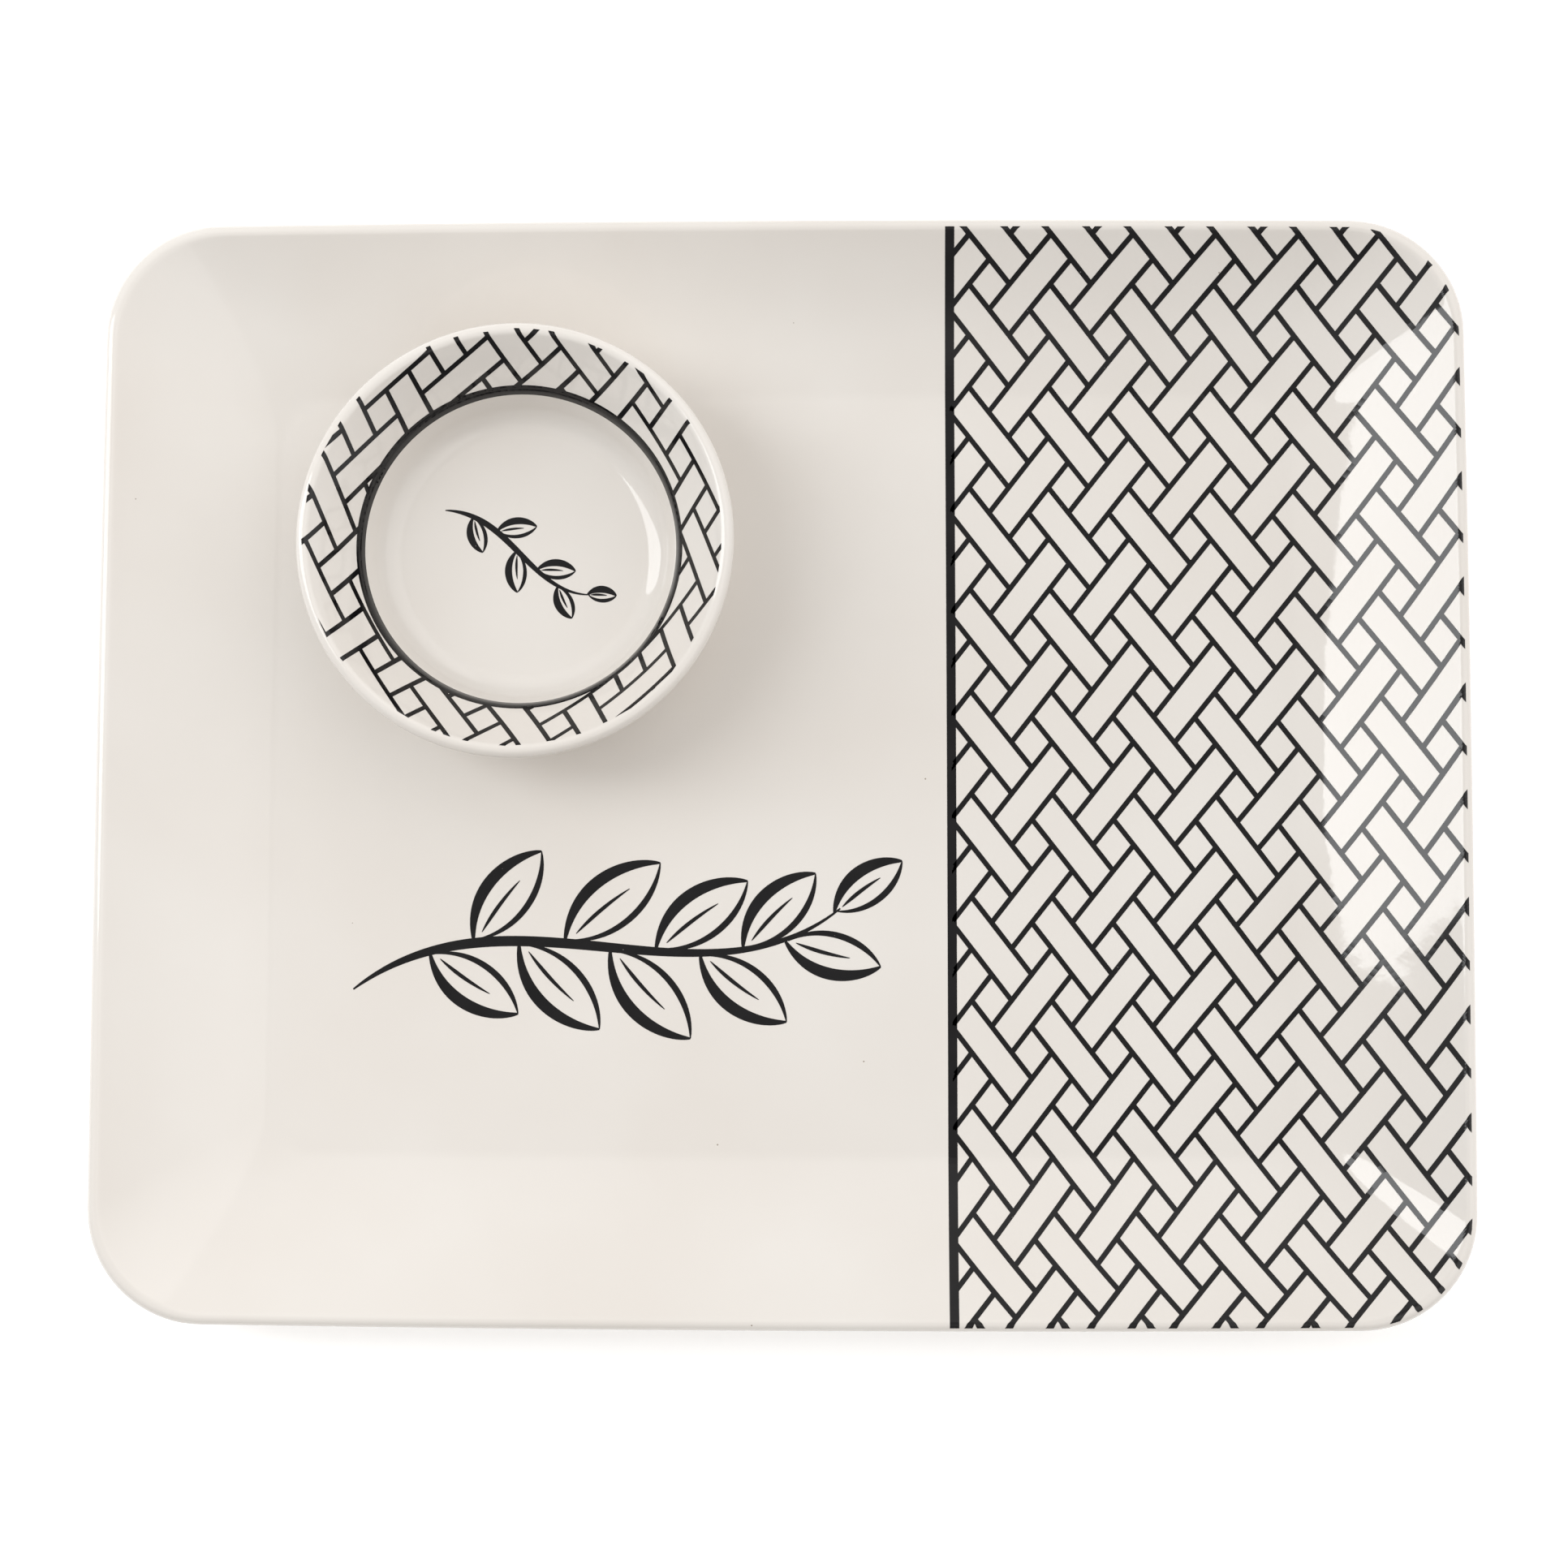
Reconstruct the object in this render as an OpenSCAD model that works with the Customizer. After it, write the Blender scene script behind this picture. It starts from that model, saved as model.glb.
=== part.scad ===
// Chip and dip server: a glazed ceramic platter and a loose dip bowl that stands on it.
// Millimetres, +Z up. The origin is on the table, under the middle of the platter.
// +X is to the right along the platter's length and +Y is towards its back edge.

/* [Platter] */
// Length of the platter, left edge to right edge
platter_l = 340; // [320:1:380]
// Depth of the platter, front edge to back edge
platter_d = 275.5; // [260:0.5:310]
// Height of the lip above the table
platter_h = 24; // [22:0.5:28]
// Width of the sloping wall, seen from above
wall_run = 42; // [38:1:46]
// Slope of the wall where it meets the lip, in degrees
rim_slope = 33; // [28:1:36]
// Radius of the outer corners, seen from above
corner_r = 28; // [24:1:36]
// Radius of the corners of the flat floor
floor_corner_r = 12; // [8:1:18]

/* [Clay] */
// Thickness of the floor and lower wall of the platter
platter_clay = 5.5; // [4.5:0.5:6.5]
// Thickness of the lip of the platter
platter_lip = 4; // [3:0.5:4.5]
// Thickness of the wall and floor of the bowl
bowl_clay = 4.5; // [3.5:0.5:5.5]
// Thickness of the lip of the bowl
bowl_lip = 3.6; // [3:0.2:4.4]

/* [Feet] */
// Height of the foot rings under the platter and the bowl
foot_h = 2; // [1.5:0.5:3]
// Width of the platter's foot ring
foot_w = 6; // [4:1:10]
// Width of the bowl's foot ring
bowl_foot_w = 4; // [3:0.5:6]
// Small chamfer along the edges of the foot rings
foot_chamfer = 0.5; // [0.3:0.1:0.8]

/* [Dip bowl] */
// Radius over the lip of the bowl
bowl_r = 53.5; // [50:0.5:58]
// Height of the bowl
bowl_h = 32; // [30:0.5:36]
// Radius of the bowl's inside at the bend under the flared rim
bend_r = 39.5; // [38:0.5:41]
// Height of that bend above the bowl's foot
bend_h = 18.5; // [17:0.5:20]
// Radius of the hollow curve between the bowl's floor and its wall
hollow_r = 9; // [7:0.5:9]
// Place of the bowl's middle, to the right of the platter's middle
bowl_x = -64.5; // [-68:0.5:65]
// Place of the bowl's middle, behind the platter's middle
bowl_y = 54.5; // [-30:0.5:56]

/* [Hidden] */

glaze_white = "#efeae2";

// Heights of the two floors
floor_z = foot_h + platter_clay;
bowl_floor_h = foot_h + bowl_clay;

// Steps along a corner, along the sloping wall and round a lip
corner_steps = 8;
wall_steps = 10;
lip_steps = 8;

// The inner face of the platter's wall runs from the edge of the floor to the lip
lip_inset = platter_lip / 2 * (1 + sin(rim_slope));
slope_run = wall_run - lip_inset;
slope_rise = platter_h - platter_lip / 2 * (1 - cos(rim_slope)) - floor_z;
// Share of the rise that is straight; the rest grows with the square of the distance
straight_share = 2 - tan(rim_slope) * slope_run / slope_rise;

// The bowl's inner wall leaves the hollow curve this many degrees above level
hollow_turn = 80;
bowl_facets = 96;

// Height of the inner wall above the floor, s running from 0 at the floor to 1 at the lip
function wall_rise(s) = slope_rise * (straight_share * s + (1 - straight_share) * s * s);
function wall_slope(s) =
    atan(slope_rise / slope_run * (straight_share + 2 * (1 - straight_share) * s));
function wall_clay(s) = platter_clay + (platter_lip - platter_clay) * s;

// Platter sections are lists of [inset from the outer edge, height above the table]
function inner_wall(s) = [wall_run - s * slope_run, floor_z + wall_rise(s)];
function outer_wall(s) =
    inner_wall(s) - wall_clay(s) * [sin(wall_slope(s)), cos(wall_slope(s))];

function platter_foot() = let (outer = outer_wall(0)[0]) [
    [outer + foot_w + foot_chamfer, foot_h],
    [outer + foot_w, foot_chamfer],
    [outer + foot_w - foot_chamfer, 0],
    [outer + 2 * foot_chamfer, 0],
    [outer + foot_chamfer, foot_chamfer]
];

// Half-round lip that joins the outer face of the wall to the inner one
function platter_lip_arc() =
    let (middle = (inner_wall(1) + outer_wall(1)) / 2)
    [for (i = [lip_steps - 1 : -1 : 1]) let (turn = rim_slope - 180 * i / lip_steps)
        middle + platter_lip / 2 * [sin(turn), cos(turn)]];

function platter_section() = concat(
    platter_foot(),
    [for (i = [0 : wall_steps]) outer_wall(i / wall_steps)],
    platter_lip_arc(),
    [for (i = [wall_steps : -1 : 0]) inner_wall(i / wall_steps)]
);

// Corners tighten from the lip to the floor
function ring_corner_r(inset) =
    corner_r + (floor_corner_r - corner_r) * min(1, inset / wall_run);

// One level rounded rectangle, counter-clockwise from its right side
function ring(inset, z) =
    let (
        r = ring_corner_r(inset),
        x = platter_l / 2 - inset - r,
        y = platter_d / 2 - inset - r
    )
    [for (quarter = [0 : 3]) for (i = [0 : corner_steps])
        let (
            turn = 90 * (quarter + i / corner_steps),
            side_x = (quarter == 0 || quarter == 3) ? 1 : -1,
            side_y = quarter < 2 ? 1 : -1
        )
        [side_x * x + r * cos(turn), side_y * y + r * sin(turn), z]];

// Closed skin over a stack of rings that all have the same number of points
module loft(rings) {
    n = len(rings[0]);
    last = len(rings) - 1;
    points = [for (r = rings) for (p = r) p];
    sides = [for (k = [0 : last - 1]) for (i = [0 : n - 1])
        let (a = k * n + i, b = k * n + (i + 1) % n)
        each [[a, a + n, b], [b, a + n, b + n]]];
    bottom = [for (i = [0 : n - 1]) i];
    top = [for (i = [n - 1 : -1 : 0]) last * n + i];
    polyhedron(points, concat([bottom], sides, [top]));
}

module platter() {
    color(glaze_white)
        loft([for (p = platter_section()) ring(p[0], p[1])]);
}

// Points of an arc, in the section of the bowl
function arc(middle, r, from, to, steps) =
    [for (i = [0 : steps]) let (a = from + (to - from) * i / steps)
        middle + r * [cos(a), sin(a)]];

// The bowl's flared rim, from the bend to the middle of the lip
rim_top = [bowl_r - bowl_lip / 2, bowl_h - bowl_lip / 2];
flare = atan2(rim_top[1] - bend_h, rim_top[0] - bend_r);

// Middle of the hollow curve, placed so that the wall above it ends at the bend
hollow_middle = [
    bend_r - hollow_r - (bend_h - bowl_floor_h - hollow_r) / tan(hollow_turn),
    bowl_floor_h + hollow_r
];
// The outer wall curves in this far, in degrees below level, before it meets the foot
belly_turn = 50;

// Inner side of the bowl's section, from the middle of the floor up to the bend
function bowl_inside() = concat(
    [[0, bowl_floor_h]],
    arc(hollow_middle, hollow_r, -90, hollow_turn - 90, 8),
    [[bend_r, bend_h]]
);

// Outer side, from under the lip down to the foot ring, and the recess inside the ring
function bowl_outside() = let (foot_r = bend_r - hollow_r) concat(
    arc(hollow_middle, hollow_r + bowl_clay, hollow_turn - 90, -belly_turn, 6),
    [
        [foot_r + bowl_foot_w, foot_h + foot_chamfer],
        [foot_r + bowl_foot_w, foot_chamfer],
        [foot_r + bowl_foot_w - foot_chamfer, 0],
        [foot_r + foot_chamfer, 0],
        [foot_r, foot_chamfer],
        [foot_r - foot_chamfer, foot_h],
        [0, foot_h]
    ]
);

module dip_bowl() {
    color(glaze_white)
        translate([bowl_x, bowl_y, floor_z])
            rotate_extrude($fn = bowl_facets)
                polygon(concat(
                    bowl_inside(),
                    arc(rim_top, bowl_lip / 2, flare + 90, flare - 90, 10),
                    bowl_outside()
                ));
}

platter();
dip_bowl();
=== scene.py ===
import math
import random

import bmesh
import bpy
from mathutils import Euler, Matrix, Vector


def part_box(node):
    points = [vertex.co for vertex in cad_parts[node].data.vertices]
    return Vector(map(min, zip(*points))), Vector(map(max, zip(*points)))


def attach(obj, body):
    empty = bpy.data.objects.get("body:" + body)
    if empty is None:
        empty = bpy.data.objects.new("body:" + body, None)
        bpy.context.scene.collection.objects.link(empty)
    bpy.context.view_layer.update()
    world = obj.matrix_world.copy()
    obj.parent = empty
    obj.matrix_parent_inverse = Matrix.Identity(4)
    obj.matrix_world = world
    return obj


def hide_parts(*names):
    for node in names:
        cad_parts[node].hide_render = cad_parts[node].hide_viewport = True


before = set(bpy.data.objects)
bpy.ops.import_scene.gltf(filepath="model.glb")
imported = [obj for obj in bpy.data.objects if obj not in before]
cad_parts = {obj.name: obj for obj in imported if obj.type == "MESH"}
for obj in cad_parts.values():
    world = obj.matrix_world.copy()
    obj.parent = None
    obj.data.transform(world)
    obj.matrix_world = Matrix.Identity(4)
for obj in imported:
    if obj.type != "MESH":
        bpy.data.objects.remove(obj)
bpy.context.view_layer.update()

# Chip and dip server: glazed platter, loose dip bowl and the prints fired onto both.
# Metres, in the CAD frame: +Z up, origin on the table under the middle of the platter.

MM = 0.001
platter_low, platter_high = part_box("platter")
bowl_low, bowl_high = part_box("dip_bowl")

# ---------------------------------------------------------------- sizes

PRINT_RISE = 0.05 * MM          # how far a fired print stands out of the glaze
PRINT_SINK = 0.05 * MM          # how far its underside reaches into the glaze

HALF_L = (platter_high.x - platter_low.x) / 2
HALF_D = (platter_high.y - platter_low.y) / 2
PLATTER_H = platter_high.z - 2 * PRINT_RISE
FLOOR_Z = bowl_low.z
WALL_RUN = 42 * MM              # from the outer edge in to the flat floor
RIM_SLOPE = math.radians(33)    # of the wall where it meets the lip
LIP_R = 2 * MM
CLAY = 5.5 * MM
CORNER_R = 28 * MM
FLOOR_CORNER_R = 12 * MM
FLAT_INSETS = (132 * MM, 118 * MM, 104 * MM, 90 * MM, 76 * MM, 62 * MM, 54 * MM)
FOOT_H = 2 * MM
FOOT_W = 6 * MM
CREASE = 1.3 * MM               # half width of the soft bend at the edge of the floor
BOW_SIDES = 0.6 * MM            # how far the left and right edges bulge at their middles
BOW_ENDS = 1.1 * MM             # the same for the front and back edges

# The wall's upper face is a parabola, START_SLOPE * run + CURL * run ** 2 above the floor. It
# meets the lip, LIP_INSET in from the edge, at RIM_SLOPE.
LIP_INSET = LIP_R * (1 + math.sin(RIM_SLOPE))
SLOPE_RUN = WALL_RUN - LIP_INSET
SLOPE_RISE = PLATTER_H - LIP_R * (1 - math.cos(RIM_SLOPE)) - FLOOR_Z
STRAIGHT = 2 - math.tan(RIM_SLOPE) * SLOPE_RUN / SLOPE_RISE
START_SLOPE = STRAIGHT * SLOPE_RISE / SLOPE_RUN
CURL = (1 - STRAIGHT) * SLOPE_RISE / SLOPE_RUN ** 2

BOWL_MIDDLE = Vector(((bowl_low.x + bowl_high.x) / 2, (bowl_low.y + bowl_high.y) / 2, bowl_low.z))
BOWL_R = (bowl_high.x - bowl_low.x) / 2
BOWL_H = bowl_high.z - bowl_low.z
BOWL_CLAY = 4.5 * MM
BOWL_LIP_R = 1.8 * MM
BEND_R = 39.5 * MM              # the bend inside, between the hollow and the flared rim
BEND_H = 18.5 * MM
BOWL_FOOT_R = 30.5 * MM
BOWL_FOOT_W = 4 * MM
BOWL_ARC_STEPS = 10             # of every rounded corner in the bowl's section


# ---------------------------------------------------------------- camera

def make_camera():
    """Almost straight overhead and a little in front, as the photograph was taken."""
    camera = bpy.data.objects.new("camera", bpy.data.cameras.new("camera"))
    camera.data.sensor_width = 36
    camera.data.lens = 77.4
    camera.data.clip_start = 0.01
    camera.location = Vector((28.2, -81.5, 850)) * MM
    camera.rotation_euler = Euler([math.radians(a) for a in (5.34, 1.854, 0.195)])
    bpy.context.scene.collection.objects.link(camera)
    bpy.context.scene.camera = camera


make_camera()


# ---------------------------------------------------------------- node helpers

def new_material(name):
    material = bpy.data.materials.new(name)
    material.use_nodes = True
    return material, material.node_tree.nodes, material.node_tree.links


def noise(nodes, links, coords, scale, detail=2.0, roughness=0.5):
    node = nodes.new("ShaderNodeTexNoise")
    node.inputs["Scale"].default_value = scale
    node.inputs["Detail"].default_value = detail
    node.inputs["Roughness"].default_value = roughness
    links.new(coords, node.inputs["Vector"])
    return node.outputs["Fac"]


def ramp(nodes, links, value, low, high, color_low, color_high):
    """Colours from color_low to color_high as value goes from low to high."""
    node = nodes.new("ShaderNodeValToRGB")
    node.color_ramp.elements[0].position = low
    node.color_ramp.elements[0].color = (*color_low, 1)
    node.color_ramp.elements[1].position = high
    node.color_ramp.elements[1].color = (*color_high, 1)
    links.new(value, node.inputs["Fac"])
    return node.outputs["Color"]


def remap(nodes, links, value, low, high, to_low, to_high):
    node = nodes.new("ShaderNodeMapRange")
    links.new(value, node.inputs["Value"])
    for name, number in (("From Min", low), ("From Max", high), ("To Min", to_low), ("To Max", to_high)):
        node.inputs[name].default_value = number
    return node.outputs["Result"]


def math_node(nodes, links, operation, a, b):
    node = nodes.new("ShaderNodeMath")
    node.operation = operation
    for socket, value in zip(node.inputs, (a, b)):
        if isinstance(value, (int, float)):
            socket.default_value = value
        else:
            links.new(value, socket)
    return node.outputs["Value"]


def mix_color(nodes, links, factor, a, b):
    node = nodes.new("ShaderNodeMix")
    node.data_type = "RGBA"
    links.new(factor, node.inputs["Factor"])
    for socket, value in ((node.inputs["A"], a), (node.inputs["B"], b)):
        if isinstance(value, tuple):
            socket.default_value = (*value, 1)
        else:
            links.new(value, socket)
    return node.outputs["Result"]


def bump(nodes, links, shader, *layers):
    """Stacks (height value, distance in metres) layers into the shader's normal."""
    normal = None
    for height, distance in layers:
        node = nodes.new("ShaderNodeBump")
        node.inputs["Strength"].default_value = 1
        node.inputs["Distance"].default_value = distance
        links.new(height, node.inputs["Height"])
        if normal:
            links.new(normal, node.inputs["Normal"])
        normal = node.outputs["Normal"]
    links.new(normal, shader.inputs["Normal"])


def specks(nodes, links, coords, spacing, radius, share):
    """1 inside scattered dots, 0 outside: dots of a radius, in a share of cells of a spacing."""
    cells = nodes.new("ShaderNodeTexVoronoi")
    cells.inputs["Scale"].default_value = 1 / spacing
    links.new(coords, cells.inputs["Vector"])
    split = nodes.new("ShaderNodeSeparateColor")
    links.new(cells.outputs["Color"], split.inputs["Color"])
    chosen = math_node(nodes, links, "LESS_THAN", split.outputs["Red"], share)
    reach = math_node(nodes, links, "MULTIPLY", split.outputs["Green"], radius / spacing)
    inside = math_node(nodes, links, "LESS_THAN", cells.outputs["Distance"], reach)
    return math_node(nodes, links, "MULTIPLY", chosen, inside)


# ---------------------------------------------------------------- materials

def glaze_material(name):
    """Warm off-white glaze: cloudy by a few percent, with a few iron specks and pinholes."""
    material, nodes, links = new_material(name)
    shader = nodes["Principled BSDF"]
    coords = nodes.new("ShaderNodeTexCoord").outputs["Object"]
    cloud = noise(nodes, links, coords, 14, 3)
    color = ramp(nodes, links, cloud, 0.35, 0.7, (0.758, 0.716, 0.668), (0.792, 0.759, 0.717))
    dots = specks(nodes, links, coords, 9 * MM, 0.32 * MM, 0.35)
    color = mix_color(nodes, links, dots, color, (0.36, 0.30, 0.25))
    pinholes = specks(nodes, links, coords, 21 * MM, 0.5 * MM, 0.3)
    color = mix_color(nodes, links, pinholes, color, (0.60, 0.55, 0.50))
    links.new(color, shader.inputs["Base Color"])
    smear = noise(nodes, links, coords, 40, 4)
    links.new(remap(nodes, links, smear, 0.3, 0.7, 0.025, 0.055), shader.inputs["Roughness"])
    shader.inputs["IOR"].default_value = 1.52
    waves = noise(nodes, links, coords, 22, 2)
    peel = noise(nodes, links, coords, 260, 2)
    bump(nodes, links, shader, (waves, 0.25 * MM), (peel, 0.012 * MM))
    return material


def bisque_material():
    """Bare fired clay on the faces that the pots stand on."""
    material, nodes, links = new_material("bare_clay")
    shader = nodes["Principled BSDF"]
    coords = nodes.new("ShaderNodeTexCoord").outputs["Object"]
    grain = noise(nodes, links, coords, 900, 4, 0.7)
    color = ramp(nodes, links, grain, 0.3, 0.7, (0.50, 0.43, 0.35), (0.66, 0.60, 0.52))
    links.new(color, shader.inputs["Base Color"])
    links.new(remap(nodes, links, grain, 0.3, 0.7, 0.95, 0.75), shader.inputs["Roughness"])
    bump(nodes, links, shader, (grain, 0.08 * MM))
    return material


def print_material():
    """Black ink fired into the glaze: glossy, a little uneven, with pinholes."""
    material, nodes, links = new_material("black_print")
    shader = nodes["Principled BSDF"]
    coords = nodes.new("ShaderNodeTexCoord").outputs["Object"]
    cloud = noise(nodes, links, coords, 120, 4)
    color = ramp(nodes, links, cloud, 0.3, 0.75, (0.003, 0.0028, 0.0032), (0.008, 0.0075, 0.0085))
    holes = specks(nodes, links, coords, 2.2 * MM, 0.16 * MM, 0.18)
    color = mix_color(nodes, links, holes, color, (0.16, 0.15, 0.15))
    links.new(color, shader.inputs["Base Color"])
    links.new(remap(nodes, links, cloud, 0.3, 0.7, 0.04, 0.08), shader.inputs["Roughness"])
    shader.inputs["IOR"].default_value = 1.46
    waves = noise(nodes, links, coords, 22, 2)
    bump(nodes, links, shader, (waves, 0.25 * MM))
    return material


PLATTER_GLAZE = glaze_material("platter_glaze")
BOWL_GLAZE = glaze_material("bowl_glaze")
BARE_CLAY = bisque_material()
BLACK_PRINT = print_material()


# ---------------------------------------------------------------- mesh helpers

def make_piece(name, verts, faces, materials, body, smooth=True):
    mesh = bpy.data.meshes.new(name)
    mesh.from_pydata([tuple(v) for v in verts], [], faces)
    mesh.validate()
    for material in materials:
        mesh.materials.append(material)
    if smooth:
        mesh.shade_smooth()
    else:
        mesh.shade_flat()
    piece = bpy.data.objects.new(name, mesh)
    bpy.context.scene.collection.objects.link(piece)
    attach(piece, body)
    return piece


def paint_foot(piece, base):
    """The wiped ring that a pot stands on is bare clay."""
    for face in piece.data.polygons:
        if face.center.z < base + 0.3 * MM:
            face.material_index = 1


def rounded_path(corners, steps):
    """2-D path through corners (a, b, radius), each rounded off by an arc of its radius."""
    path = []
    for i, (a, b, radius) in enumerate(corners):
        here = Vector((a, b))
        if radius == 0 or i in (0, len(corners) - 1):
            path.append(here)
            continue
        to_last = (Vector(corners[i - 1][:2]) - here).normalized()
        to_next = (Vector(corners[i + 1][:2]) - here).normalized()
        half = to_last.angle(to_next) / 2
        middle = here + (to_last + to_next).normalized() * radius / math.sin(half)
        start = here + to_last * radius / math.tan(half) - middle
        turn = math.pi - 2 * half
        if to_last.x * to_next.y - to_last.y * to_next.x > 0:
            turn = -turn
        for k in range(steps + 1):
            angle = turn * k / steps
            path.append(middle + Vector((
                start.x * math.cos(angle) - start.y * math.sin(angle),
                start.x * math.sin(angle) + start.y * math.cos(angle),
            )))
    return path


# ---------------------------------------------------------------- platter

def soft_ramp(u):
    """u where it is positive, 0 where it is negative, and a smooth bend between."""
    if abs(u) < CREASE:
        return (u + CREASE) ** 2 / (4 * CREASE)
    return max(u, 0)


def height_at_inset(inset):
    """Height of the platter's upper face at a distance in from its outer edge."""
    if inset < LIP_INSET:
        return PLATTER_H - LIP_R + math.sqrt(max(0, LIP_R ** 2 - (inset - LIP_R) ** 2))
    u = WALL_RUN - inset
    return FLOOR_Z + START_SLOPE * soft_ramp(u) + CURL * max(u, 0) ** 2


def ring_corner_r(inset):
    share = min(inset, WALL_RUN + CREASE) / WALL_RUN
    return min(CORNER_R + (FLOOR_CORNER_R - CORNER_R) * share, 0.9 * (HALF_D - inset))


def inset_of(x, y):
    """Inset of the ring through a point, which is exact over the wall and its bend."""
    shrink = (FLOOR_CORNER_R - CORNER_R) / WALL_RUN
    a = abs(x) - (HALF_L - CORNER_R)
    b = abs(y) - (HALF_D - CORNER_R)
    # Along the straight sides the nearer edge decides; in a corner the ring is an arc, and
    # its inset i solves (a + (1 + shrink) i)^2 + (b + (1 + shrink) i)^2 = (CORNER_R + shrink i)^2
    straight = min(CORNER_R - a, CORNER_R - b)
    grow = 1 + shrink
    if a + grow * straight <= 0 or b + grow * straight <= 0:
        return straight
    qa = 2 * grow ** 2 - shrink ** 2
    qb = 2 * grow * (a + b) - 2 * shrink * CORNER_R
    qc = a * a + b * b - CORNER_R ** 2
    return (-qb + math.sqrt(max(0, qb * qb - 4 * qa * qc))) / (2 * qa)


def bowed(x, y):
    """Pulls the corners in a little, so that every edge bulges at its middle."""
    return (
        x * (1 - BOW_SIDES / HALF_L * (y / HALF_D) ** 2),
        y * (1 - BOW_ENDS / HALF_D * (x / HALF_L) ** 2),
    )


def platter_ring(inset, z, corner_steps=20, long_steps=26, short_steps=20):
    """One level rounded rectangle, counter-clockwise, with the bow of the edges in it."""
    r = ring_corner_r(inset)
    x = HALF_L - inset - r
    y = HALF_D - inset - r
    quarters = ((x, y), (-x, y), (-x, -y), (x, -y))
    points = []
    for quarter, (cx, cy) in enumerate(quarters):
        for i in range(corner_steps + 1):
            turn = math.pi / 2 * (quarter + i / corner_steps)
            points.append((cx + r * math.cos(turn), cy + r * math.sin(turn)))
        # The corner's last point and the next corner's first one are joined by a side
        nx, ny = quarters[(quarter + 1) % 4]
        end = math.pi / 2 * (quarter + 1)
        start_p = points[-1]
        end_p = (nx + r * math.cos(end), ny + r * math.sin(end))
        side_steps = long_steps if quarter % 2 == 0 else short_steps
        for i in range(1, side_steps):
            t = i / side_steps
            points.append(tuple(p + (q - p) * t for p, q in zip(start_p, end_p)))
    return [(*bowed(px, py), z) for px, py in points]


def wall_underside(share):
    """[inset, height] of the outer face of the wall, at a share of the way up its slope."""
    run = share * SLOPE_RUN
    slope = math.atan(START_SLOPE + 2 * CURL * SLOPE_RUN * share)
    clay = CLAY + (2 * LIP_R - CLAY) * share
    z = FLOOR_Z + START_SLOPE * run + CURL * run ** 2
    return WALL_RUN - run - clay * math.sin(slope), z - clay * math.cos(slope)


def foot_section():
    """[inset, height] pairs round the foot ring, from its inner side to the wall."""
    foot_out = wall_underside(0)[0] + 0.5 * MM
    foot_in = foot_out + FOOT_W - 1 * MM
    return rounded_path([
        (foot_in + 3 * MM, FOOT_H, 0),
        (foot_in + 0.6 * MM, FOOT_H, 0.6 * MM),
        (foot_in, 0, 0.5 * MM),
        (foot_out, 0, 0.5 * MM),
        (foot_out - 0.6 * MM, FOOT_H + 0.1 * MM, 0.8 * MM),
        (*wall_underside(0.06), 0),
    ], 5)


def lip_section():
    """[inset, height] pairs round the lip, from the outer face to the upper one."""
    turns = [RIM_SLOPE - math.pi + math.pi * i / 20 for i in range(1, 20)]
    return [(LIP_R + LIP_R * math.sin(t), PLATTER_H - LIP_R + LIP_R * math.cos(t)) for t in turns]


def platter_section():
    """[inset, height] pairs from the middle of the underside, over the lip, to the floor."""
    section = [(inset, FOOT_H) for inset in FLAT_INSETS]
    section += [tuple(p) for p in foot_section()]
    section += [wall_underside(step / 30) for step in range(3, 31)]
    section += lip_section()
    for i in range(57):
        inset = LIP_INSET + (WALL_RUN + CREASE - LIP_INSET) * i / 56
        section.append((inset, height_at_inset(inset)))
    section += [(inset, FLOOR_Z) for inset in (49 * MM, *reversed(FLAT_INSETS))]
    return section


def build_platter():
    rings = [platter_ring(inset, z) for inset, z in platter_section()]
    n = len(rings[0])
    verts = [v for ring in rings for v in ring]
    faces = [tuple(reversed(range(n)))]
    for k in range(len(rings) - 1):
        for i in range(n):
            j = (i + 1) % n
            faces.append((k * n + i, k * n + j, (k + 1) * n + j, (k + 1) * n + i))
    faces.append(tuple(range((len(rings) - 1) * n, len(rings) * n)))
    glazes = [PLATTER_GLAZE, BARE_CLAY]
    piece = make_piece("platter_body", verts, faces, glazes, "platter")
    paint_foot(piece, 0)
    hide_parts("platter")


build_platter()


# ---------------------------------------------------------------- dip bowl

FLARE_TOP = Vector((BOWL_R - BOWL_LIP_R, BOWL_H - BOWL_LIP_R))   # middle of the lip's round
FLARE = math.atan2(FLARE_TOP.y - BEND_H, FLARE_TOP.x - BEND_R)


def bowl_section():
    """(radius, height) points from the middle of the floor, over the lip and round the foot."""
    along = Vector((math.cos(FLARE), math.sin(FLARE))) * BOWL_LIP_R
    across = Vector((-along.y, along.x))
    foot_out = BOWL_FOOT_R + BOWL_FOOT_W
    return rounded_path([
        (0, FOOT_H + BOWL_CLAY, 0),
        (35.2 * MM, FOOT_H + BOWL_CLAY, 7 * MM),
        (BEND_R, BEND_H, 5 * MM),
        (*(FLARE_TOP + across + along), 0.99 * BOWL_LIP_R),
        (*(FLARE_TOP - across + along), 0.99 * BOWL_LIP_R),
        (44.4 * MM, 15.5 * MM, 12 * MM),
        (41.5 * MM, 7.0 * MM, 6 * MM),
        (foot_out, FOOT_H + 0.8 * MM, 1.2 * MM),
        (foot_out - 0.2 * MM, 0, 0.5 * MM),
        (BOWL_FOOT_R + 0.2 * MM, 0, 0.5 * MM),
        (BOWL_FOOT_R - 0.4 * MM, FOOT_H, 0.8 * MM),
        (0, FOOT_H, 0),
    ], BOWL_ARC_STEPS)


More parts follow.
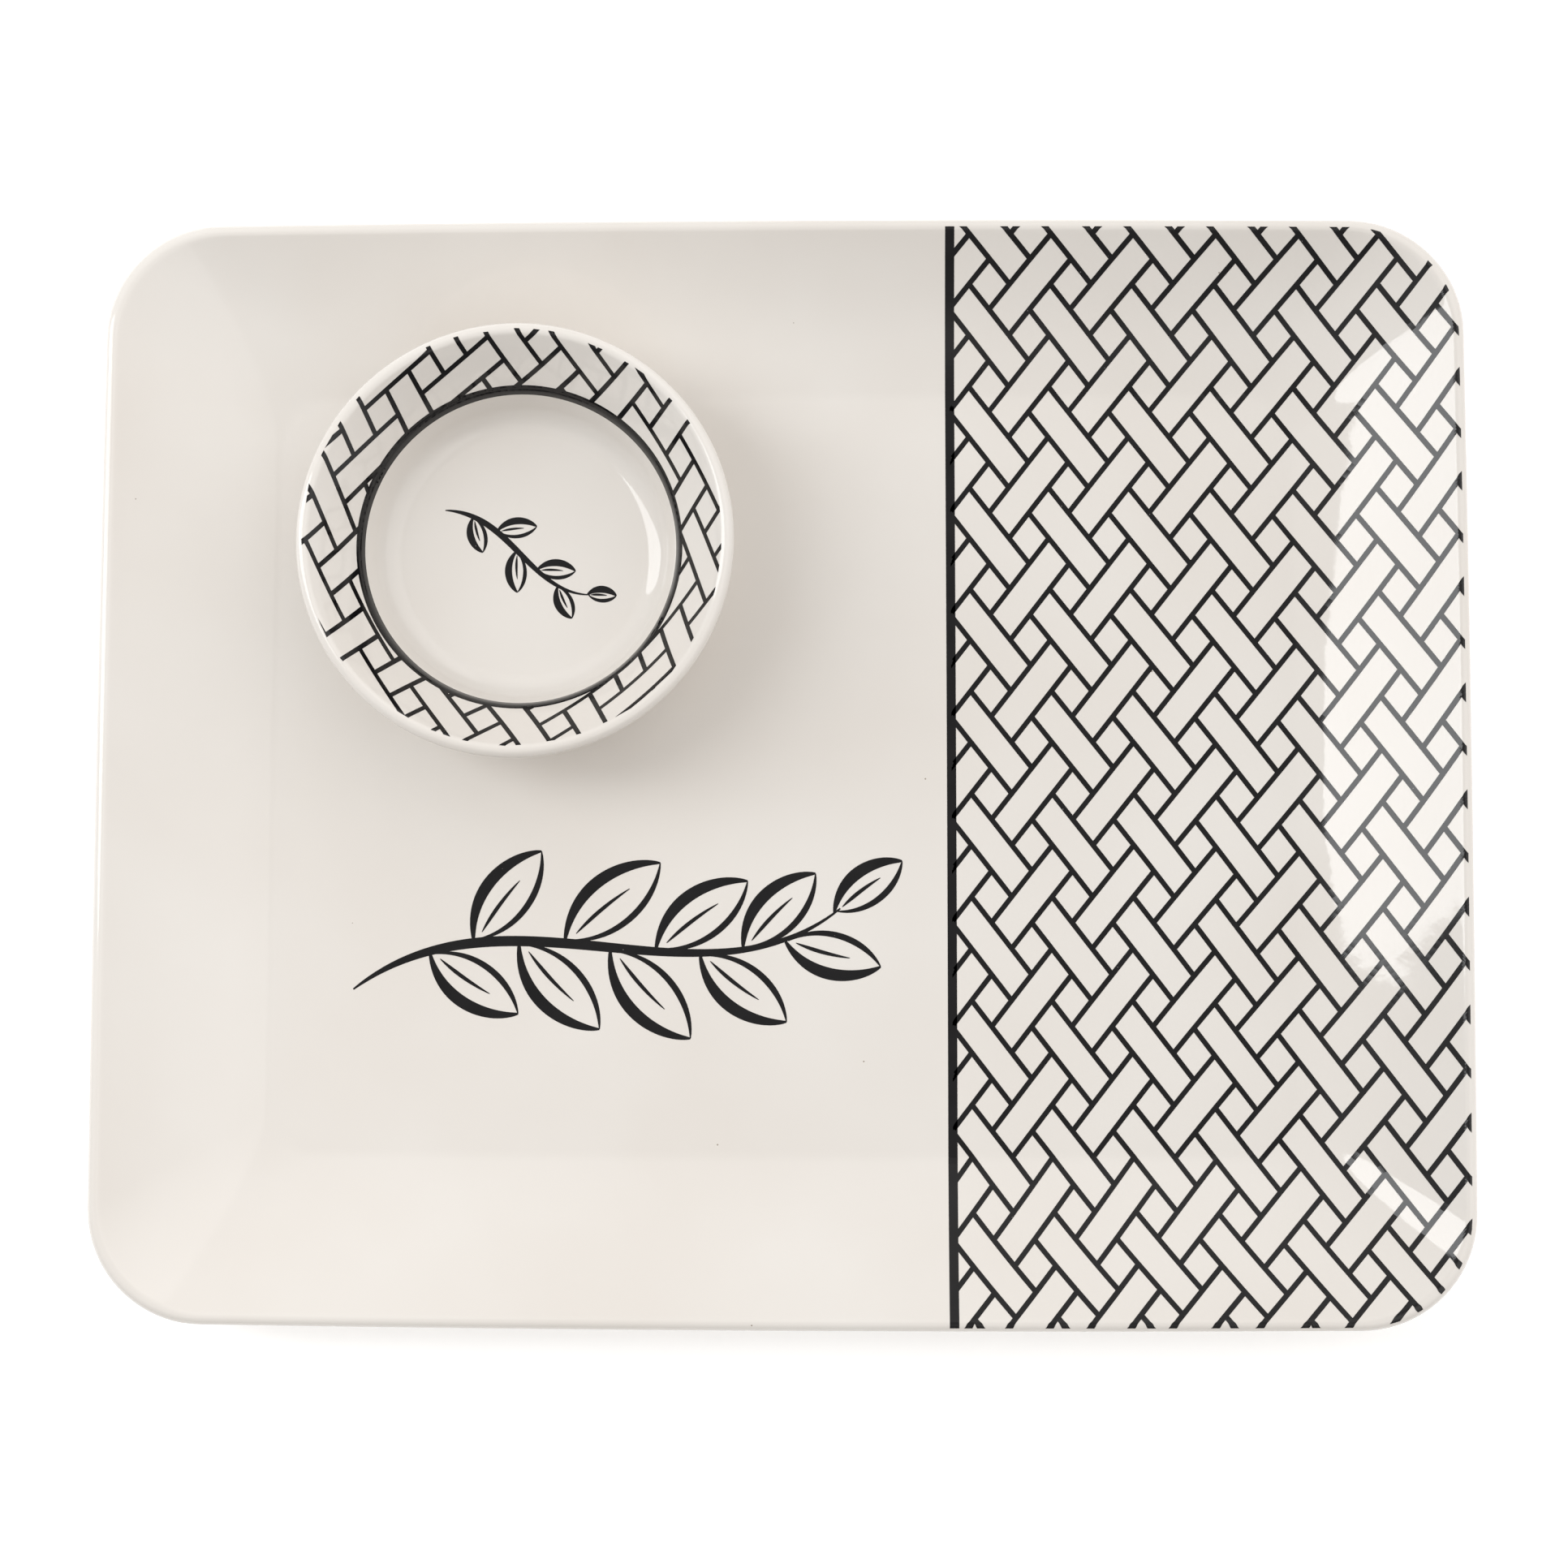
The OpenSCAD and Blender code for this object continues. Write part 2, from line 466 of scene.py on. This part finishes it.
def revolve(section, steps):
    """Rings about the bowl's axis, with one shared point where the section meets it."""
    verts = []
    faces = []
    rows = []
    for r, z in section:
        if r < 0.01 * MM:
            rows.append([len(verts)])
            verts.append(BOWL_MIDDLE + Vector((0, 0, z)))
            continue
        rows.append(list(range(len(verts), len(verts) + steps)))
        for i in range(steps):
            turn = 2 * math.pi * i / steps
            verts.append(BOWL_MIDDLE + Vector((r * math.cos(turn), r * math.sin(turn), z)))
    for a, b in zip(rows, rows[1:]):
        for i in range(steps):
            j = (i + 1) % steps
            corners = [a[i % len(a)], b[i % len(b)], b[j % len(b)], a[j % len(a)]]
            faces.append(tuple(reversed(list(dict.fromkeys(corners)))))
    return verts, faces


def dense(section, longest):
    """The same path with extra points, so that no stretch is longer than the given length."""
    path = [section[0]]
    for last, here in zip(section, section[1:]):
        steps = max(1, math.ceil((here - last).length / longest))
        path += [last.lerp(here, k / steps) for k in range(1, steps + 1)]
    return path


def build_bowl():
    verts, faces = revolve(dense(bowl_section(), 4 * MM), 144)
    piece = make_piece("dip_bowl_body", verts, faces, [BOWL_GLAZE, BARE_CLAY], "dip_bowl")
    paint_foot(piece, BOWL_MIDDLE.z)
    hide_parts("dip_bowl")


build_bowl()


# ---------------------------------------------------------------- prints

# The weave repeats in cells. A quarter cell each way is half a diagonal of its small diamonds.
CELL_W = 20.56 * MM
CELL_H = 25.9 * MM
LINE_W = 1.3 * MM
UP = Vector((CELL_W / 4, CELL_H / 4))
DOWN = Vector((CELL_W / 4, -CELL_H / 4))


def weave_lines(columns, rows):
    """(middle, half line) of every line of a basket weave over a range of cells: the long
    edges of strips three diamonds long, which lie across each other in turn."""
    lines = {"up": [], "down": []}
    for i in columns:
        for j in rows:
            cell = Vector((i * CELL_W, j * CELL_H))
            rising = cell + Vector((CELL_W / 2, 0))
            falling = cell + Vector((0, CELL_H / 2))
            for side in (-0.5, 0.5):
                lines["up"].append((rising + DOWN * side, UP * 1.5))
                lines["down"].append((falling + UP * side, DOWN * 1.5))
    return lines


def ribbon(bm, points, widths, lanes=3):
    """Flat strip along points, of a width at each, made of lanes side by side."""
    rows = []
    for i, point in enumerate(points):
        ahead = points[min(i + 1, len(points) - 1)] - points[max(i - 1, 0)]
        side = Vector((-ahead.y, ahead.x)).normalized() * widths[i] / 2
        spots = [point + side * (1 - 2 * k / lanes) for k in range(lanes + 1)]
        rows.append([bm.verts.new((*spot, 0)) for spot in spots])
    for a, b in zip(rows, rows[1:]):
        for k in range(lanes):
            bm.faces.new((a[k], a[k + 1], b[k + 1], b[k]))


def clip_to(bm, outline):
    """Keeps what lies inside a convex outline, given counter-clockwise."""
    for a, b in zip(outline, outline[1:] + outline[:1]):
        edge = b - a
        if edge.length < 1e-7:
            continue
        bmesh.ops.bisect_plane(
            bm,
            geom=bm.verts[:] + bm.edges[:] + bm.faces[:],
            dist=1e-7,
            plane_co=(*a, 0),
            plane_no=(edge.y, -edge.x, 0),
            clear_outer=True,
        )


def skin(bm, place, rise):
    """Verts and faces of the flat shape laid on a surface as a thin closed layer.
    place(x, y) gives the point on the surface and its normal."""
    bm.verts.index_update()
    tops, bottoms = [], []
    for v in bm.verts:
        point, normal = place(v.co.x, v.co.y)
        tops.append(point + normal * rise)
        bottoms.append(point - normal * PRINT_SINK)
    n = len(tops)
    faces = []
    for face in bm.faces:
        ring = [v.index for v in face.verts]
        faces.append(tuple(ring))
        faces.append(tuple(i + n for i in reversed(ring)))
        for a, b, edge in zip(ring, ring[1:] + ring[:1], [loop.edge for loop in face.loops]):
            if len(edge.link_faces) == 1:
                faces.append((b, a, a + n, b + n))
    return tops + bottoms, faces


def make_print(name, layers, place, body):
    """One printed piece of several flat layers, each a hair higher than the one before."""
    verts, faces = [], []
    for k, bm in enumerate(layers):
        bmesh.ops.remove_doubles(bm, verts=bm.verts[:], dist=1e-7)
        for face in bm.faces:
            face.normal_update()
            if face.normal.z < 0:
                face.normal_flip()
        more_verts, more_faces = skin(bm, place, PRINT_RISE * (0.9 + 0.1 * k))
        faces += [tuple(i + len(verts) for i in face) for face in more_faces]
        verts += more_verts
        bm.free()
    make_piece(name, verts, faces, [BLACK_PRINT], body, smooth=False)


def platter_point(x, y):
    """Point on the platter's upper face over (x, y), before the bow, and its normal."""
    def at(px, py):
        return Vector((*bowed(px, py), height_at_inset(inset_of(px, py))))
    e = 0.05 * MM
    normal = (at(x + e, y) - at(x - e, y)).cross(at(x, y + e) - at(x, y - e))
    return at(x, y), normal.normalized()


def lengths_up_wall(steps):
    """Length along the wall's section from the floor's edge, at even steps of its run."""
    lengths = [0]
    heights = [height_at_inset(WALL_RUN - WALL_RUN * step / steps) for step in range(steps + 1)]
    for low, high in zip(heights, heights[1:]):
        lengths.append(lengths[-1] + math.hypot(WALL_RUN / steps, high - low))
    return lengths


WALL_STEPS = 200
WALL_LENGTHS = lengths_up_wall(WALL_STEPS)


def laid_out(distance, half_floor):
    """Distance from the middle, seen from above, of what lies this far along the surface."""
    over = abs(distance) - half_floor
    if over <= 0:
        return distance
    for step in range(WALL_STEPS):
        if WALL_LENGTHS[step + 1] >= over:
            part = (over - WALL_LENGTHS[step]) / (WALL_LENGTHS[step + 1] - WALL_LENGTHS[step])
            return math.copysign(half_floor + (step + part) * WALL_RUN / WALL_STEPS, distance)
    return math.copysign(half_floor + WALL_RUN, distance)


# Border line and weave on the platter. The printed sheet went on by hand, a little uneven.
BORDER_X = 42.7 * MM
BORDER_W = 2.3 * MM
PRINT_INSET = 1.5 * MM
PRINT_DROP = 0.6 * MM           # how far the sheet lies towards the front of the platter
WEAVE_ORIGIN = Vector((52.8, -5.2)) * MM
SAG = 4.9 * MM                  # drop of the sheet's right end at the front
SAG_X = (89 * MM, 78 * MM)      # where that sets in, left to right, and its run to the full drop
SAG_Y = (161 * MM, -298 * MM)   # the same from back to front
BULGE = 0.97 * MM               # bow of its upright rows towards the left
WAVE = 0.41 * MM                # how much less that is at mid depth and at the far edges
LEAN = 0.45 * MM                # lean of its left edge either way
STRETCH = 0.09                  # share by which it is longer over the front wall
CUT_SWELL = 0.3                 # share by which a line is wider where it was cut at the lip
CUT_REACH = 0.55 * MM           # how far from the cut that wears off


def smooth_step(value, start, run):
    """Soft rise from 0 at the start to 1 at the end of the run, and level before and after."""
    t = min(1, max(0, (value - start) / run))
    return t * t * (3 - 2 * t)


def weave_to_plan(u, v):
    """Where a point of the flat printed sheet ends up, seen from above."""
    across = min(1, max(0, (u - BORDER_X) / (HALF_L - BORDER_X)))
    up = v / HALF_D
    sag = SAG * smooth_step(u, *SAG_X) * smooth_step(v, *SAG_Y)
    bulge = (BULGE - WAVE * math.cos(math.tau * up)) * math.sin(math.pi * across)
    lean = LEAN * up * max(0, 1 - 2 * across)
    stretch = STRETCH * max(0, WALL_RUN - HALF_D - v) * (1 - across)
    return Vector((
        laid_out(u - bulge - lean, HALF_L - WALL_RUN),
        laid_out(v - sag - stretch, HALF_D - WALL_RUN),
    ))


def plain_ring(inset, corner_steps=14):
    """The platter's rounded outline at an inset, before the bow, counter-clockwise."""
    r = CORNER_R - inset
    x = HALF_L - CORNER_R
    y = HALF_D - CORNER_R
    points = []
    for quarter, (cx, cy) in enumerate(((x, y), (-x, y), (-x, -y), (x, -y))):
        for i in range(corner_steps + 1):
            turn = math.pi / 2 * (quarter + i / corner_steps)
            points.append((cx + r * math.cos(turn), cy + r * math.sin(turn)))
    return points


def print_outline(left):
    """Edge of the printed sheet: the platter's outline, cut off at the left."""
    ring = [Vector(p) for p in plain_ring(PRINT_INSET)]
    return [Vector((max(p.x, left - LEAN * p.y / HALF_D), p.y - PRINT_DROP)) for p in ring]


def weave_line_on_plan(start, end):
    """A line of the flat sheet seen from above: points close together near the lip only."""
    length = (end - start).length
    t = 0
    points = [weave_to_plan(*start)]
    while t < 1:
        near_lip = inset_of(*points[-1]) < 8 * MM
        t = min(1, t + (0.35 if near_lip else 2.0) * MM / length)
        points.append(weave_to_plan(*start.lerp(end, t)))
    return points


def flared_width(point):
    """Width of a line, which flares a little where the sheet was cut along the lip."""
    gap = (inset_of(*point) - PRINT_INSET) / CUT_REACH
    return LINE_W * (1 + CUT_SWELL * math.exp(-gap * gap))


def build_platter_weave():
    outline = print_outline(BORDER_X)
    layers = []
    lines = weave_lines(range(-2, 8), range(-7, 8))
    for direction in ("up", "down"):
        bm = bmesh.new()
        for middle, half in lines[direction]:
            middle = middle + WEAVE_ORIGIN
            points = weave_line_on_plan(middle - half, middle + half)
            ribbon(bm, points, [flared_width(p) for p in points])
        clip_to(bm, outline)
        layers.append(bm)
    make_print("weave_print", layers, platter_point, "platter")


def build_border():
    bm = bmesh.new()
    reach = HALF_D - PRINT_INSET
    stops = [-reach]
    while stops[-1] < reach:
        near_lip = HALF_D - abs(stops[-1]) < 6 * MM
        stops.append(min(reach, stops[-1] + (0.3 if near_lip else 1.5) * MM))
    points = [Vector((BORDER_X - LEAN * y / HALF_D, y - PRINT_DROP)) for y in stops]
    ribbon(bm, points, [BORDER_W] * len(stops))
    make_print("border_print", [bm], platter_point, "platter")


build_platter_weave()
build_border()


# Ring line and weave in the bowl. INSIDE is its section from the floor's middle over the lip,
# which is the first point and four rounded corners.
INSIDE = dense(bowl_section()[:1 + 4 * (BOWL_ARC_STEPS + 1)], 1 * MM)
BEND_INDEX = min(range(len(INSIDE)), key=lambda k: (INSIDE[k] - Vector((BEND_R, BEND_H))).length)
RING_REACH = (-2.1 * MM, 1.5 * MM)  # from below the bend to above it, along the surface
BOWL_PRINT_R = 57.4 * MM            # edge of the bowl's printed sheet when it is flat
BOWL_PRINT_SHIFT = Vector((-0.5, 0.5)) * MM
BOWL_WEAVE_ORIGIN = Vector((23.2, -38.5)) * MM
BOWL_WEAVE_TURN = math.radians(-8.9)
BOWL_WEAVE_SCALE = 0.977


def around_axis(turn, spot):
    """A point or direction (r, z) of the bowl's section, turned about its axis."""
    return Vector((spot.x * math.cos(turn), spot.x * math.sin(turn), spot.y))


def bowl_point(x, y):
    """Point on the bowl's inside for a point of its flat sheet, which follows the surface
    outwards from the bend, and the normal there."""
    turn = math.atan2(y, x)
    reach = math.hypot(x, y) - BEND_R
    step = 1 if reach >= 0 else -1
    rest = abs(reach)
    k = BEND_INDEX
    while 0 < k + step < len(INSIDE) - 1 and (INSIDE[k + step] - INSIDE[k]).length < rest:
        rest -= (INSIDE[k + step] - INSIDE[k]).length
        k += step
    along = (INSIDE[k + step] - INSIDE[k]).normalized()
    spot = INSIDE[k] + along * rest
    outward = along * step
    normal = Vector((-outward.y, outward.x))
    return BOWL_MIDDLE + around_axis(turn, spot), around_axis(turn, normal)


def bowl_floor_point(x, y):
    """Point on the bowl's flat floor, and the normal there."""
    return BOWL_MIDDLE + Vector((x, y, FOOT_H + BOWL_CLAY)), Vector((0, 0, 1))


def runs_on_rim(points):
    """The stretches of a line that lie on the flared rim."""
    runs = [[]]
    for p in points:
        if BEND_R + 0.4 * MM < p.length < 60 * MM:
            runs[-1].append(p)
        elif runs[-1]:
            runs.append([])
    return [run for run in runs if len(run) > 1]


def build_bowl_weave():
    random.seed(4)
    lines = weave_lines(range(-5, 4), range(-2, 7))
    ahead = Vector((math.cos(BOWL_WEAVE_TURN), math.sin(BOWL_WEAVE_TURN))) * BOWL_WEAVE_SCALE
    upward = Vector((-ahead.y, ahead.x))
    edge = []
    for i in range(72):
        r = BOWL_PRINT_R + random.uniform(-0.35, 0.35) * MM
        around = Vector((math.cos(math.tau * i / 72), math.sin(math.tau * i / 72)))
        edge.append(BOWL_PRINT_SHIFT + around * r)
    layers = []
    for direction in ("up", "down"):
        bm = bmesh.new()
        for middle, half in lines[direction]:
            points = [middle + half * (-1 + k / 48) for k in range(97)]
            points = [BOWL_WEAVE_ORIGIN + ahead * p.x + upward * p.y for p in points]
            for run in runs_on_rim(points):
                ribbon(bm, run, [LINE_W] * len(run))
        clip_to(bm, edge)
        layers.append(bm)
    make_print("bowl_weave_print", layers, bowl_point, "dip_bowl")


def build_bowl_ring():
    bm = bmesh.new()
    steps = 144
    reaches = [RING_REACH[0] + (RING_REACH[1] - RING_REACH[0]) * k / 6 for k in range(7)]
    rows = []
    for reach in reaches:
        r = BEND_R + reach
        turns = [math.tau * i / steps for i in range(steps)]
        rows.append([bm.verts.new((r * math.cos(t), r * math.sin(t), 0)) for t in turns])
    for a, b in zip(rows, rows[1:]):
        for i in range(steps):
            j = (i + 1) % steps
            bm.faces.new((a[i], b[i], b[j], a[j]))
    make_print("bowl_ring_print", [bm], bowl_point, "dip_bowl")


build_bowl_weave()
build_bowl_ring()


# ---------------------------------------------------------------- brushed sprigs

def bezier(points, t):
    """Point of a Bezier curve of any degree, at t from 0 to 1."""
    while len(points) > 1:
        points = [a.lerp(b, t) for a, b in zip(points, points[1:])]
    return points[0]


def stroke(bm, controls, width, heavy=0.5, steps=26):
    """Brush stroke along a Bezier curve, widest at a share of its length and thin at its ends."""
    points = [bezier(controls, k / steps) for k in range(steps + 1)]
    widths = []
    for k in range(steps + 1):
        t = k / steps
        swell = min(t / heavy, (1 - t) / (1 - heavy))
        widths.append(width * (0.16 + 0.84 * math.sin(math.pi / 2 * swell) ** 0.8))
    ribbon(bm, points, widths, 1)


def leaf(layers, root, angle, length, side, weight):
    """Open leaf of a thick stroke, a thin stroke and a short vein."""
    along = Vector((math.cos(angle), math.sin(angle)))
    across = Vector((-along.y, along.x)) * side
    belly = length * 0.34
    # Each stroke: (share of the length, share of the belly) of its controls, width, heaviest at
    strokes = (
        (((0, 0), (0.35, 1), (0.8, 0.6), (1, 0)), 3.0 * MM, 0.45),
        (((0.04, 0), (0.3, -0.75), (0.75, -0.7), (1, 0)), 1.6 * MM, 0.6),
        (((0.12, 0), (0.4, 0.1), (0.68, 0)), 1.0 * MM, 0.4),
    )
    for layer, (controls, width, heavy) in zip(layers[1:], strokes):
        points = [root + along * length * far + across * belly * out for far, out in controls]
        stroke(layer, points, width * weight, heavy)


def sprig(middle, turn, size, leaves, weight):
    """Layers of a leafy sprig, drawn about a middle, turned, size long and of a brush weight."""
    layers = [bmesh.new() for _ in range(4)]
    stem = []
    for x, y in ((-0.5, -0.06), (-0.2, 0.14), (0.15, -0.16), (0.42, 0.03)):
        stem.append(middle + Vector((
            x * math.cos(turn) - y * math.sin(turn),
            x * math.sin(turn) + y * math.cos(turn),
        )) * size)
    stroke(layers[0], stem, 2.6 * MM * weight, 0.3, 60)
    for k in range(leaves):
        t = 0.16 + 0.8 * k / leaves
        ahead = bezier(stem, t + 0.01) - bezier(stem, t)
        side = 1 if k % 2 else -1
        lean = side * math.radians(50 - 16 * k / leaves)
        length = size * (0.235 - 0.09 * abs(k / leaves - 0.35))
        leaf(layers, bezier(stem, t), math.atan2(ahead.y, ahead.x) + lean, length, side, weight)
    ahead = bezier(stem, 1) - bezier(stem, 0.98)
    leaf(layers, bezier(stem, 0.985), math.atan2(ahead.y, ahead.x), size * 0.16, 1, weight)
    return layers


def build_sprigs():
    big = sprig(Vector((-41, -42)) * MM, math.radians(4), 134 * MM, leaves=9, weight=1)
    make_print("platter_sprig_print", big, platter_point, "platter")
    small = sprig(Vector((0, 0)), math.radians(-36), 46 * MM, leaves=5, weight=0.6)
    make_print("bowl_sprig_print", small, bowl_floor_point, "dip_bowl")


build_sprigs()


# ---------------------------------------------------------------- stage and light

def make_stage():
    floor = bpy.data.objects.new("studio_floor", bpy.data.meshes.new("studio_floor"))
    reach = 40
    corners = [(-reach, -reach, 0), (reach, -reach, 0), (reach, reach, 0), (-reach, reach, 0)]
    floor.data.from_pydata(corners, [], [(0, 1, 2, 3)])
    material, nodes, _ = new_material("studio_floor")
    shader = nodes["Principled BSDF"]
    shader.inputs["Base Color"].default_value = (0.95, 0.95, 0.95, 1)
    shader.inputs["Roughness"].default_value = 0.9
    shader.inputs["Emission Color"].default_value = (1, 1, 1, 1)
    shader.inputs["Emission Strength"].default_value = 0.25
    floor.data.materials.append(material)
    bpy.context.scene.collection.objects.link(floor)


def softbox(name, azimuth, elevation, distance, width, height, radiance, color):
    """Flat elliptical light that faces the object from a direction, in degrees."""
    light = bpy.data.lights.new(name, "AREA")
    light.shape = "ELLIPSE"
    light.size = width
    light.size_y = height
    light.color = color
    light.energy = radiance * math.pi * (math.pi / 4 * width * height)
    lamp = bpy.data.objects.new(name, light)
    a, e = math.radians(azimuth), math.radians(elevation)
    towards = Vector((math.cos(e) * math.cos(a), math.cos(e) * math.sin(a), math.sin(e)))
    lamp.location = towards * distance
    lamp.rotation_euler = lamp.location.to_track_quat("Z", "Y").to_euler()
    bpy.context.scene.collection.objects.link(lamp)


def make_world():
    """Soft light from all round: dim right overhead and low at the front, with a large pale
    screen on the right."""
    world = bpy.data.worlds.new("studio")
    world.use_nodes = True
    nodes, links = world.node_tree.nodes, world.node_tree.links
    direction = nodes.new("ShaderNodeSeparateXYZ")
    links.new(nodes.new("ShaderNodeTexCoord").outputs["Generated"], direction.inputs["Vector"])
    x, y, z = (direction.outputs[axis] for axis in "XYZ")

    def product(first, *others):
        for other in others:
            first = math_node(nodes, links, "MULTIPLY", first, other)
        return first

    dome = product(
        remap(nodes, links, z, 0, 0.8, 0.42, 0.76),     # brighter from the horizon up
        remap(nodes, links, z, 0.93, 0.985, 1, 0.6),    # dim where the camera hangs
        remap(nodes, links, y, -0.62, -0.45, 0.55, 1),  # dim low at the front
        remap(nodes, links, y, -1, 1, 0.85, 1.15),      # a little brighter towards the back
    )
    screen = product(
        remap(nodes, links, x, 0.12, 0.15, 0, 0.6),
        remap(nodes, links, y, -0.8, -0.6, 0, 1),
    )
    links.new(math_node(nodes, links, "ADD", dome, screen), nodes["Background"].inputs["Strength"])
    nodes["Background"].inputs["Color"].default_value = (1, 0.985, 0.97, 1)
    bpy.context.scene.world = world


def make_light():
    softbox("key_softbox", 164.5, 41, 1.3, 0.45, 1.55, 4.4, (0.965, 0.985, 1))
    make_world()
    bpy.context.scene.view_settings.view_transform = "Standard"


make_stage()
make_light()
